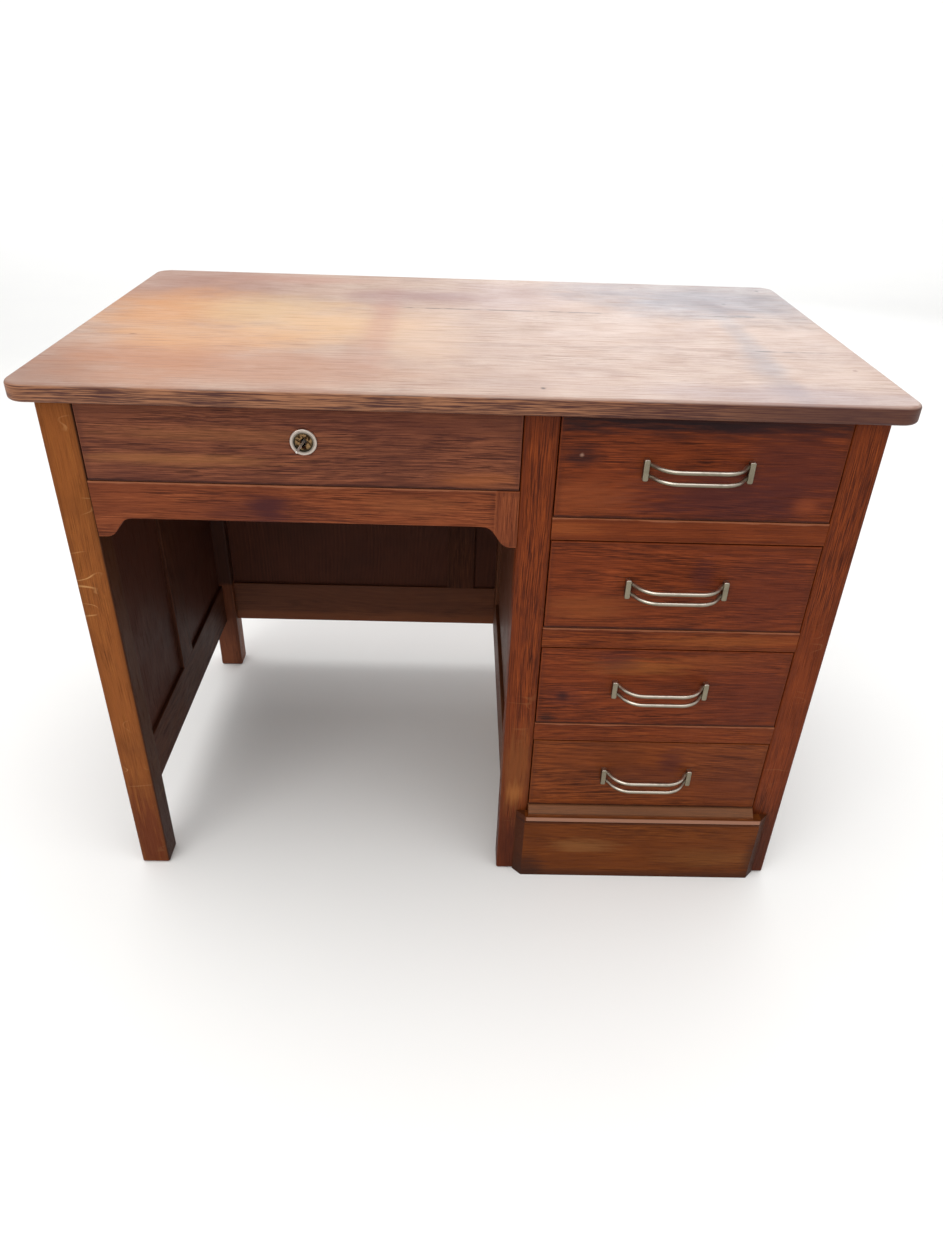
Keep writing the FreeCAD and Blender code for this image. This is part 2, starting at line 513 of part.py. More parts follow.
# ---------------------------------------------------------------- lock of the knee drawer
def make_lock():
    """Bezel ring with its keyhole plate, the case with its drill pin, and the bolt."""
    back = FRONT + DRAWER_FRONT_THICKNESS
    plate_back = FRONT + KEY_PLATE_THICKNESS
    case_y = back - CASE_DEPTH
    ring_y = FRONT - RING_REACH
    ring = rod_y(LOCK_X, LOCK_Z, ring_y, plate_back, RING_RADIUS)
    outer_rim = [e for e in ring.Edges if e.Vertexes[0].Y < FRONT and len(e.Vertexes) == 1]
    ring = ring.makeFillet(RING_ROUND, outer_rim)
    ring = ring.cut(rod_y(LOCK_X, LOCK_Z, ring_y, FRONT, RING_INNER_RADIUS))
    slot_bottom = LOCK_Z - KEYHOLE_DROP
    slot_points = [V(LOCK_X - KEYHOLE_FLARE / 2, ring_y, LOCK_Z),
                   V(LOCK_X + KEYHOLE_FLARE / 2, ring_y, LOCK_Z),
                   V(LOCK_X + KEYHOLE_FLARE, ring_y, slot_bottom),
                   V(LOCK_X - KEYHOLE_FLARE, ring_y, slot_bottom)]
    hole_end = case_y + CASE_WALL
    slot = Part.Face(Part.makePolygon(slot_points + slot_points[:1])).extrude(V(0, hole_end - ring_y, 0))
    keyhole = rod_y(LOCK_X, LOCK_Z, ring_y, hole_end, KEYHOLE_RADIUS).fuse(slot)
    nodes["lock_escutcheon"] = ring.cut(keyhole)

    front_top = UNDERSIDE - GAP_ABOVE
    case = block(LOCK_X - CASE_WIDTH / 2, LOCK_X + CASE_WIDTH / 2, case_y, back,
                 LOCK_Z - CASE_BELOW_KEYHOLE, front_top)
    cavity = block(LOCK_X - CASE_WIDTH / 2 + CASE_WALL, LOCK_X + CASE_WIDTH / 2 - CASE_WALL,
                   case_y + CASE_WALL, back - CASE_WALL,
                   LOCK_Z - CASE_BELOW_KEYHOLE + CASE_WALL, front_top - CASE_WALL)
    bolt_y0, bolt_y1 = BOLT_Y - BOLT_DEPTH / 2, BOLT_Y + BOLT_DEPTH / 2
    mouth = block(LOCK_X - BOLT_WIDTH / 2 - BOLT_CLEARANCE, LOCK_X + BOLT_WIDTH / 2 + BOLT_CLEARANCE,
                  bolt_y0 - BOLT_CLEARANCE, bolt_y1 + BOLT_CLEARANCE, front_top - 2 * CASE_WALL, front_top)
    at_face = V(LOCK_X, FRONT, LOCK_Z)
    root = at_face + PIN_LEAN * ((back - CASE_WALL / 2 - FRONT) / PIN_LEAN.y)
    run = at_face + PIN_LEAN - root
    pin = Part.makeCylinder(PIN_RADIUS, run.Length, root, run)
    tip = [e for e in pin.Edges if e.Vertexes[0].Y < FRONT and len(e.Vertexes) == 1]
    pin = pin.makeFillet(PIN_RADIUS / 2, tip)
    shell = case.cut([cavity, mouth, keyhole])
    nodes["lock_case"] = shell.fuse(pin).removeSplitter()

    bolt = block(LOCK_X - BOLT_WIDTH / 2, LOCK_X + BOLT_WIDTH / 2, bolt_y0, bolt_y1,
                 front_top - BOLT_LENGTH, front_top)
    nodes["lock_bolt"] = eased(bolt, "z", BOLT_CLEARANCE)

    half_mortise = BOLT_WIDTH / 2 + MORTISE_CLEARANCE
    mortise = block(LOCK_X - half_mortise, LOCK_X + half_mortise,
                    bolt_y0 - MORTISE_CLEARANCE, bolt_y1 + MORTISE_CLEARANCE,
                    UNDERSIDE - MORTISE_CLEARANCE, UNDERSIDE + BOLT_TRAVEL + MORTISE_CLEARANCE)
    cut_all(["top_board_front"], mortise)
    passage = rod_y(LOCK_X, LOCK_Z, FRONT - 1, back, KEYHOLE_RADIUS)
    recess = rod_y(LOCK_X, LOCK_Z, FRONT - 1, plate_back, RING_RADIUS)
    cut_all(["knee_drawer_front"], [case, recess, passage, keyhole])


# ---------------------------------------------------------------- build and write
make_top()
make_legs()
make_carcass()
make_knee_rail()
make_pedestal_front()
make_plinth()
make_runners()
make_drawer("knee_drawer", KNEE_LEFT, KNEE_RIGHT, KNEE_RAIL_TOP, UNDERSIDE)
make_lock()
for index, opening_levels in enumerate(drawer_openings(), start=1):
    make_drawer("drawer_%d" % index, PEDESTAL_LEFT, PEDESTAL_RIGHT, *opening_levels)
    make_handle(index, opening_levels)

for node, shape in nodes.items():
    solids = shape.Solids
    assert solids and all(s.isValid() and s.Volume > 0 for s in solids), node
    clean = solids[0] if len(solids) == 1 else Part.makeCompound(solids)
    clean.exportStep("parts/%s.step" % node)
    print("%-28s %d solid(s) %10.0f mm3" % (node, len(solids), sum(s.Volume for s in solids)))
everything = Part.makeCompound(list(nodes.values())).BoundBox
print(len(nodes), "nodes; box", everything)
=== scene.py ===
"""Oak teacher's desk: materials, worn details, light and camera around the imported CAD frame."""
import json
import math

import bpy
from mathutils import Matrix, Vector


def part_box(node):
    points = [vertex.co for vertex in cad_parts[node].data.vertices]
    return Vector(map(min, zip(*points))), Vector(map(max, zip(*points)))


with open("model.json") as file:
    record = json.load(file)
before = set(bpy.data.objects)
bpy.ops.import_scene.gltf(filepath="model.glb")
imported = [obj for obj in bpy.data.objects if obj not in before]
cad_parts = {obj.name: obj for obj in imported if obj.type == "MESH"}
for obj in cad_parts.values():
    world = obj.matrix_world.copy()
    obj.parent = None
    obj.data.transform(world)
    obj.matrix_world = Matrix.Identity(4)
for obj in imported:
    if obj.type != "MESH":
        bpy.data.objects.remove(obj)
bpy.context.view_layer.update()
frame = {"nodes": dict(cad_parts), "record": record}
NODES = frame["nodes"]


# ------------------------------------------------------------------ colours
def srgb(red, green, blue):
    """A display colour, 0 to 255, as the linear colour that Blender mixes."""
    def linear(value):
        value /= 255
        return value / 12.92 if value <= 0.04045 else ((value + 0.055) / 1.055) ** 2.4
    return (linear(red), linear(green), linear(blue), 1.0)


# ------------------------------------------------------------------ node graphs
class Graph:
    """A node tree, with one short call for each kind of node."""

    def __init__(self, tree):
        self.tree = tree

    def feed(self, socket, value):
        """Link a socket into another, or set a uniform value on it."""
        if isinstance(value, bpy.types.NodeSocket):
            self.tree.links.new(value, socket)
        else:
            socket.default_value = value

    def node(self, kind, inputs=None, **settings):
        made = self.tree.nodes.new(kind)
        for key, value in settings.items():
            setattr(made, key, value)
        for key, value in (inputs or {}).items():
            self.feed(made.inputs[key], value)
        return made

    def math(self, operation, a, b=0.0, c=0.0, clamp=False):
        inputs = {0: a, 1: b, 2: c}
        return self.node("ShaderNodeMath", inputs, operation=operation, use_clamp=clamp).outputs[0]

    def add(self, a, b):
        return self.math("ADD", a, b)

    def times(self, a, b):
        return self.math("MULTIPLY", a, b)

    def times_add(self, a, b, c):
        return self.math("MULTIPLY_ADD", a, b, c)

    def centred(self, noise, amount):
        """A 0 to 1 noise as a swing of +- amount / 2."""
        return self.math("MULTIPLY_ADD", noise, amount, -0.5 * amount)

    def vector(self, operation, a, b):
        return self.node("ShaderNodeVectorMath", {0: a, 1: b}, operation=operation).outputs[0]

    def split(self, vector):
        return self.node("ShaderNodeSeparateXYZ", {0: vector}).outputs

    def join(self, x, y, z=0.0):
        return self.node("ShaderNodeCombineXYZ", {0: x, 1: y, 2: z}).outputs[0]

    def length(self, x, y, z=0.0):
        inputs = {0: self.join(x, y, z)}
        return self.node("ShaderNodeVectorMath", inputs, operation="LENGTH").outputs["Value"]

    def noise(self, vector, scale=1.0, detail=2.0, roughness=0.5, distortion=0.0):
        inputs = {"Vector": vector, "Scale": scale, "Detail": detail, "Roughness": roughness,
                  "Distortion": distortion}
        return self.node("ShaderNodeTexNoise", inputs, noise_dimensions="3D").outputs["Fac"]

    def fade(self, value, low, high, start=0.0, end=1.0):
        inputs = {"Value": value, "From Min": low, "From Max": high, "To Min": start, "To Max": end}
        made = self.node("ShaderNodeMapRange", inputs, interpolation_type="SMOOTHSTEP")
        return made.outputs["Result"]

    def mix(self, factor, a, b, blend="MIX"):
        made = self.node("ShaderNodeMix", data_type="RGBA", blend_type=blend)
        for index, value in ((0, factor), (6, a), (7, b)):
            self.feed(made.inputs[index], value)
        return made.outputs[2]


def new_group(name, inputs, outputs):
    """An empty shader group with named sockets: its graph, what it is given, what it gives."""
    tree = bpy.data.node_groups.new(name, "ShaderNodeTree")
    for label, kind in inputs:
        tree.interface.new_socket(name=label, in_out="INPUT", socket_type="NodeSocket" + kind)
    for label, kind in outputs:
        tree.interface.new_socket(name=label, in_out="OUTPUT", socket_type="NodeSocket" + kind)
    graph = Graph(tree)
    return graph, graph.node("NodeGroupInput").outputs, graph.node("NodeGroupOutput").inputs


# ------------------------------------------------------------------ oak
RING_WIDTH = 0.0075          # metres between the growth rings that show
PALE_RAY = srgb(206, 158, 104)
BLACK = (0, 0, 0, 1)


def make_oak_group():
    """Oak figure in metres: X runs along the grain, Y across the face, Z into the board."""
    graph, given, out = new_group("oak_figure", [
        ("Grain", "Vector"), ("Seed", "Float"), ("Light", "Color"), ("Mid", "Color"),
        ("Dark", "Color"), ("Rays", "Float"), ("Rings", "Float"), ("Streaks", "Float"),
    ], [("Color", "Color"), ("Height", "Float"), ("Pores", "Float")])
    offset = graph.join(*(graph.times(given["Seed"], step) for step in (0.37, 0.23, 0.29)))
    moved = graph.vector("ADD", given["Grain"], offset)

    def stretched(vector, along, across, detail, roughness=0.55, distortion=0.0):
        scaled = graph.vector("MULTIPLY", vector, (along, across, across))
        return graph.noise(scaled, 1.0, detail, roughness, distortion)

    # the fibres wander slowly along the board
    along, across, depth = graph.split(moved)
    slow = graph.centred(stretched(moved, 2.2, 6.0, 1.0), 0.022)
    quick = graph.centred(stretched(moved, 11.0, 30.0, 2.0), 0.0012)
    bent = graph.join(along, graph.add(graph.add(across, slow), quick), graph.add(depth, quick))

    # growth rings: cylinders round a pith that lies under the face and tilts along the board
    near_along, near_across, near_depth = graph.split(given["Grain"])
    drift = graph.centred(stretched(moved, 1.6, 2.5, 2.0), 0.16)
    under = graph.add(graph.times_add(near_along, 0.09, near_depth), 0.05)
    radius = graph.length(graph.add(near_across, drift), under)
    wobble = graph.centred(stretched(moved, 9.0, 55.0, 3.0), 0.5)
    phase = graph.math("FRACT", graph.add(graph.math("DIVIDE", radius, RING_WIDTH), wobble))
    early = graph.times(graph.fade(phase, 0.0, 0.35), graph.fade(phase, 1.0, 0.45))

    bands = stretched(bent, 3.0, 75.0, 3.0, 0.6)
    streaks = stretched(bent, 15.0, 820.0, 2.0, 0.7)
    fibres = stretched(bent, 36.0, 1700.0, 1.0)
    # the fine figure comes and goes along the board
    plain = graph.fade(stretched(moved, 4.0, 22.0, 2.0), 0.38, 0.62, 0.45, 1.15)
    strength = graph.times(given["Streaks"], plain)
    tone = graph.times_add(graph.centred(bands, 0.7), given["Streaks"], 0.5)
    tone = graph.add(tone, graph.times(graph.centred(streaks, 2.3), strength))
    tone = graph.add(tone, graph.times(graph.centred(fibres, 1.8), strength))
    tone = graph.math("ADD", tone, graph.times(graph.centred(early, 0.26), given["Rings"]), clamp=True)
    colour = graph.mix(graph.fade(tone, 0.05, 0.5), given["Light"], given["Mid"])
    colour = graph.mix(graph.fade(tone, 0.5, 0.95), colour, given["Dark"])

    # open pores: dark dashes, gathered in the early wood
    dashes = graph.fade(stretched(bent, 20.0, 860.0, 1.0), 0.56, 0.62)
    hairs = graph.fade(stretched(bent, 90.0, 2600.0, 1.0), 0.58, 0.66)
    gathered = graph.times_add(early, 0.4, 0.6)
    pores = graph.times(graph.math("MAXIMUM", dashes, graph.times(hairs, 0.7)), gathered)
    pore_colour = graph.mix(0.6, given["Dark"], BLACK)
    colour = graph.mix(graph.times(graph.times(pores, 0.8), strength), colour, pore_colour)

    # medullary rays: thin pale wavy ribbons, only here and there
    contour = graph.noise(graph.vector("MULTIPLY", moved, (38.0, 13.0, 13.0)), 1.0, 1.0, 0.5, 0.2)
    ribbon = graph.fade(graph.math("ABSOLUTE", graph.centred(contour, 1.0)), 0.016, 0.004)
    place = graph.fade(graph.noise(graph.vector("MULTIPLY", moved, (9.0, 14.0, 14.0)), 1.0, 2.0),
                       0.55, 0.66)
    rays = graph.times(graph.times(ribbon, place), given["Rays"])
    colour = graph.mix(rays, colour, graph.mix(0.6, given["Light"], PALE_RAY))

    height = graph.times_add(pores, -0.7, graph.times(streaks, 0.5))
    for label, value in (("Color", colour), ("Height", height), ("Pores", pores)):
        graph.feed(out[label], value)
    return graph.tree


OAK = make_oak_group()


class Tone:
    """Three colours of one oak surface, how strong its figure is and how it is finished."""

    def __init__(self, light, mid, dark, rays=0.0, rings=0.6, streaks=1.0,
                 relief=0.3, roughness=0.46, shine=0.12):
        self.light, self.mid, self.dark = srgb(*light), srgb(*mid), srgb(*dark)
        self.rays = rays
        self.rings = rings
        self.streaks = streaks
        self.relief = relief
        self.roughness = roughness
        self.shine = shine


TONES = {
    # the top's pale pink grey colours are partly a painted reflection of the bright room in the varnish
    "oak_top": Tone((194, 174, 160), (178, 150, 134), (148, 117, 104), rings=0.2, streaks=0.5,
                    relief=0.08, roughness=0.4),
    "left_leg": Tone((148, 90, 38), (133, 74, 30), (97, 51, 18), rays=0.8, rings=0.2, streaks=0.5),
    "oak_legs": Tone((132, 60, 19), (113, 47, 13), (77, 29, 8), rays=0.1, rings=0.2),
    "rear_leg": Tone((128, 74, 46), (108, 60, 38), (72, 38, 24), rings=0.2, streaks=0.6),
    "oak_frame": Tone((117, 67, 39), (92, 50, 28), (61, 31, 19), streaks=0.8),
    "oak_panels": Tone((115, 64, 44), (92, 50, 33), (63, 35, 26), streaks=0.4),
    "oak_plinth": Tone((128, 69, 23), (105, 52, 16), (73, 33, 9), rings=0.3, streaks=0.7),
    "oak_front_rails": Tone((135, 65, 24), (113, 49, 16), (79, 30, 9), rings=0.2),
    "oak_fronts": Tone((135, 62, 26), (111, 47, 16), (75, 29, 10)),
    "drawer_4": Tone((136, 69, 28), (113, 53, 18), (76, 33, 11)),
    "knee_drawer": Tone((136, 79, 54), (112, 62, 41), (77, 39, 30)),
    "knee_rail": Tone((143, 76, 42), (120, 59, 31), (85, 38, 20), rings=0.2),
    "oak_inner": Tone((194, 152, 108), (168, 124, 84), (126, 86, 56), streaks=0.4,
                      roughness=0.62, shine=0.15),
}

# Soft-edged patches of another colour: where along and across the board (shares of its length
# and width), half length and half width in metres, colour and strength.
# a dark colour for grime, and for painted shade
GRIME_AND_SHADE = (44, 24, 20)
PURPLE = (66, 28, 28)
MARKS = {
    "knee_drawer_front": [(0.20, 0.30, 0.12, 0.008, (150, 96, 56), 0.5),
                          (0.30, 0.62, 0.13, 0.010, (140, 88, 52), 0.35),
                          (0.90, 0.12, 0.05, 0.010, (150, 84, 44), 0.5),
                          (0.12, 0.10, 0.07, 0.014, PURPLE, 0.35),
                          (0.70, 0.80, 0.14, 0.020, PURPLE, 0.35)],
    "knee_rail": [(0.445, 0.60, 0.024, 0.017, PURPLE, 0.95),
                  (0.42, 0.50, 0.070, 0.022, PURPLE, 0.4),
                  (0.80, 0.70, 0.06, 0.012, (146, 82, 46), 0.4)],
    "drawer_1_front": [(0.08, 0.62, 0.022, 0.014, (46, 20, 18), 0.75),
                       (0.08, 0.62, 0.0030, 0.0026, (158, 122, 104), 0.8),
                       (0.60, 0.22, 0.11, 0.034, PURPLE, 0.75),
                       (0.90, 0.18, 0.016, 0.012, (150, 72, 32), 0.7),
                       # a painted shadow under the top's overhang, along the upper edge
                       (0.50, 0.97, 0.30, 0.020, (28, 16, 20), 0.95),
                       (0.85, 0.50, 0.08, 0.060, (70, 28, 24), 0.6),
                       (0.10, 0.20, 0.06, 0.025, (136, 70, 36), 0.4)],
    "drawer_2_front": [(0.58, 0.66, 0.016, 0.022, PURPLE, 0.55),
                       (0.15, 0.25, 0.06, 0.020, (138, 76, 36), 0.35),
                       (0.86, 0.45, 0.08, 0.060, (78, 30, 20), 0.5)],
    "drawer_3_front": [(0.10, 0.38, 0.009, 0.007, (40, 18, 14), 0.9),
                       (0.10, 0.38, 0.028, 0.016, PURPLE, 0.4),
                       (0.04, 0.08, 0.012, 0.008, (40, 20, 16), 0.7),
                       (0.40, 0.78, 0.07, 0.014, (142, 82, 36), 0.55),
                       (0.30, 0.86, 0.030, 0.018, PURPLE, 0.5),
                       (0.70, 0.86, 0.060, 0.014, (138, 70, 30), 0.4),
                       (0.88, 0.45, 0.07, 0.060, (78, 30, 20), 0.45)],
    "drawer_4_front": [(0.60, 0.70, 0.020, 0.020, PURPLE, 0.6),
                       (0.85, 0.45, 0.05, 0.004, GRIME_AND_SHADE, 0.35),
                       (0.50, 0.50, 0.06, 0.020, PURPLE, 0.25),
                       (0.90, 0.45, 0.06, 0.060, (84, 36, 20), 0.4)],
    "plinth_board": [(0.28, 0.52, 0.050, 0.014, (134, 88, 48), 0.55),
                     (0.80, 0.35, 0.080, 0.020, (122, 76, 36), 0.35),
                     (0.05, 0.10, 0.030, 0.030, GRIME_AND_SHADE, 0.7),
                     # painted shade at the bevelled right end
                     (0.98, 0.30, 0.016, 0.060, GRIME_AND_SHADE, 0.6)],
    # painted shade near the floor at the foot
    "front_left_leg": [(0.06, 0.50, 0.12, 0.050, (80, 26, 8), 0.75)],
    # the first patch is painted shade near the floor at the foot
    "front_centre_leg": [(0.05, 0.50, 0.11, 0.050, (56, 19, 6), 0.65),
                         (0.27, 0.50, 0.085, 0.030, (118, 66, 30), 0.7),
                         (0.215, 0.50, 0.022, 0.012, (156, 96, 46), 0.6)],
    # painted shade near the floor at the foot
    "front_right_leg": [(0.06, 0.50, 0.12, 0.050, (50, 17, 5), 0.75)],
    "pedestal_rail_2": [(0.70, 0.5, 0.10, 0.010, (140, 76, 32), 0.4)],
    "pedestal_rail_1": [(0.08, 0.5, 0.04, 0.010, (140, 72, 32), 0.45)],
}


WORN_SHINE = 0.12                    # specular level of the worn varnish
GRIME_AND_SHADE_REACH = (0.010, 0.0015)        # distances from an arris between which grime and painted shade set in
RUBBED_AND_HIGHLIGHT_REACH = (0.0022, 0.0)         # the same for the part worn pale and painted as a highlight


def long_order(low, high):
    """The box's axes from the longest, which the grain follows, to the shortest."""
    return sorted(range(3), key=lambda index: low[index] - high[index])


def patch(graph, along, across, centre, half, ragged):
    """A soft mask, 1 inside an ellipse, with a ragged edge."""
    x = graph.math("DIVIDE", graph.math("SUBTRACT", along, centre[0]), half[0])
    y = graph.math("DIVIDE", graph.math("SUBTRACT", across, centre[1]), half[1])
    return graph.fade(graph.add(graph.length(x, y), ragged), 1.5, 0.2)


def edge_distance(graph, place, low, high):
    """Distance from the nearest arris of a box: the middle one of the distances to its faces."""
    near = []
    for index, value in enumerate(graph.split(place)):
        middle, half = (low[index] + high[index]) / 2, (high[index] - low[index]) / 2
        away = graph.math("ABSOLUTE", graph.math("SUBTRACT", value, middle))
        near.append(graph.math("SUBTRACT", half, away))
    pairs = [graph.math("MAXIMUM", near[a], near[b]) for a, b in ((0, 1), (1, 2), (0, 2))]
    return graph.math("MINIMUM", graph.math("MINIMUM", pairs[0], pairs[1]), pairs[2])


def start_material(name):
    material = bpy.data.materials.new(name)
    material.use_nodes = True
    return material, Graph(material.node_tree), material.node_tree.nodes["Principled BSDF"]


def oak_material(node, seed, tone, order=None, finish=None):
    """One board's own oak: figure, marks, arrises worn pale with a painted highlight and darkened with
    soiling and painted shade beside them, and, where given, a further finish.
    """
    material, graph, shader = start_material("oak_" + node)
    low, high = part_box(node)
    order = order or long_order(low, high)
    place = graph.node("ShaderNodeTexCoord").outputs["Object"]
    normal = graph.node("ShaderNodeTexCoord").outputs["Normal"]
    centre = [(low[index] + high[index]) / 2 for index in range(3)]
    parts = graph.split(graph.vector("SUBTRACT", place, centre))
    inputs = {"Grain": graph.join(*(parts[index] for index in order)), "Seed": seed,
              "Light": tone.light, "Mid": tone.mid, "Dark": tone.dark, "Rays": tone.rays,
              "Rings": tone.rings, "Streaks": tone.streaks}
    figure = graph.tree.nodes.new("ShaderNodeGroup")
    figure.node_tree = OAK
    for key, value in inputs.items():
        graph.feed(figure.inputs[key], value)
    colour = figure.outputs["Color"]

    # slow change of colour along the board, and end grain that has drunk more stain
    drift = graph.noise(graph.vector("MULTIPLY", place, (7.0, 7.0, 9.0)), 1.0, 3.0, 0.6)
    colour = graph.mix(graph.fade(drift, 0.45, 0.7, 0.0, 0.4), colour, tone.dark)
    end = graph.math("ABSOLUTE", graph.split(normal)[order[0]])
    colour = graph.mix(graph.fade(end, 0.6, 0.95, 0.0, 0.5), colour, tone.dark)

    # painted-in marks
    along, across = parts[order[0]], parts[order[1]]
    grain = graph.join(graph.times(parts[order[0]], 16.0), graph.times(parts[order[1]], 190.0),
                       graph.times(parts[order[2]], 190.0))
    ragged = graph.centred(graph.noise(grain, 1.0, 4.0, 0.65), 2.2)
    size = [high[index] - low[index] for index in order]
    for u, v, half_length, half_width, tint, strength in MARKS.get(node, ()):
        spot = patch(graph, along, across, ((u - 0.5) * size[0], (v - 0.5) * size[1]),
                     (half_length, half_width), ragged)
        colour = graph.mix(graph.times(spot, strength), colour, srgb(*tint))

    # arrises worn paler with a painted highlight, with soiling and painted shade just beside them
    arris = graph.add(edge_distance(graph, place, low, high),
                      graph.centred(graph.noise(place, 130.0, 3.0, 0.6), 0.003))
    grime_and_shade = graph.times(graph.fade(arris, *GRIME_AND_SHADE_REACH), 0.4)
    rubbed_and_highlight = graph.times(graph.fade(arris, *RUBBED_AND_HIGHLIGHT_REACH), 0.45)
    colour = graph.mix(grime_and_shade, colour, tone.dark)
    colour = graph.mix(rubbed_and_highlight, colour, tone.light)
    roughness = graph.times_add(graph.noise(place, 16.0, 3.0), 0.24, tone.roughness - 0.12)
    roughness = graph.times_add(figure.outputs["Pores"], 0.2, roughness)
    shine = tone.shine
    if finish:
        colour, roughness, shine = finish(graph, place, colour, roughness)
    graph.feed(shader.inputs["Base Color"], colour)
    graph.feed(shader.inputs["Roughness"], roughness)
    graph.feed(shader.inputs["Specular IOR Level"], shine)
    bump = graph.node("ShaderNodeBump", {"Height": figure.outputs["Height"], "Strength": tone.relief,
                                         "Distance": 0.0005})
    graph.feed(shader.inputs["Normal"], bump.outputs["Normal"])
    return material


# ------------------------------------------------------------------ the top's own wear
TOP_NODES = ("top_board_front", "top_board_middle", "top_board_rear")
TOP_LOW = [min(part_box(node)[0][index] for node in TOP_NODES) for index in range(3)]
TOP_HIGH = [max(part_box(node)[1][index] for node in TOP_NODES) for index in range(3)]
# shares of the whole top's length and depth, half length, half depth, colour, strength
TOP_MARKS = [
    (0.10, 0.80, 0.16, 0.14, (138, 89, 72), 0.75),        # browner rear left corner
    (0.02, 0.10, 0.10, 0.10, (131, 97, 83), 0.75),        # browner front left corner
    (0.14, 0.20, 0.13, 0.10, (173, 112, 72), 0.7),        # orange front left
    (0.28, 0.12, 0.16, 0.07, (169, 118, 89), 0.6),
    (0.10, 0.56, 0.11, 0.13, (194, 133, 75), 0.8),        # orange rub by the left end
    (0.22, 0.58, 0.10, 0.10, (196, 161, 118), 0.7),       # the palest, yellow rub
    (0.32, 0.46, 0.11, 0.10, (205, 165, 123), 0.75),
    (0.18, 0.34, 0.14, 0.07, (200, 151, 107), 0.6),
    (0.44, 0.42, 0.06, 0.14, (203, 170, 143), 0.55),
    (0.385, 0.50, 0.022, 0.22, (166, 112, 97), 0.4),      # a browner line between the rubs
    (0.36, 0.22, 0.016, 0.12, (166, 126, 108), 0.35),
    (0.42, 0.76, 0.10, 0.05, (133, 96, 98), 0.6),         # grey rose along the rear
    (0.56, 0.80, 0.10, 0.09, (139, 109, 112), 0.45),
    (0.25, 0.92, 0.12, 0.03, (171, 118, 100), 0.4),
    (0.93, 0.88, 0.24, 0.17, (95, 93, 103), 0.68),        # blue grey rear right corner
    (0.84, 0.80, 0.14, 0.10, (110, 106, 118), 0.6),
    (0.70, 0.92, 0.10, 0.05, (130, 121, 128), 0.5),
    (0.868, 0.42, 0.018, 0.26, (118, 114, 122), 0.42),    # blue grey line from front to back
    (0.855, 0.20, 0.022, 0.11, (122, 114, 120), 0.35),
    (0.90, 0.655, 0.018, 0.008, (65, 65, 77), 0.6),
    (0.85, 0.05, 0.16, 0.04, (137, 116, 121), 0.55),
    (0.968, 0.944, 0.0035, 0.0050, (40, 36, 40), 0.9),    # small holes and bruises
    (0.890, 0.780, 0.0030, 0.0040, (60, 56, 66), 0.8),
    (0.764, 0.935, 0.0030, 0.0040, (110, 84, 84), 0.8),
    (0.583, 0.055, 0.0032, 0.0040, (70, 50, 44), 0.9),
    (0.967, 0.222, 0.0032, 0.0036, (130, 96, 84), 0.8),
    (0.080, 0.346, 0.0050, 0.0022, (120, 70, 40), 0.7),
]
EDGE_PALE, EDGE_DARK = (158, 106, 72), (70, 31, 23)
SMALL_MARK = 0.02                    # marks smaller than this have a fine edge
TOP_SHINE = 0.35


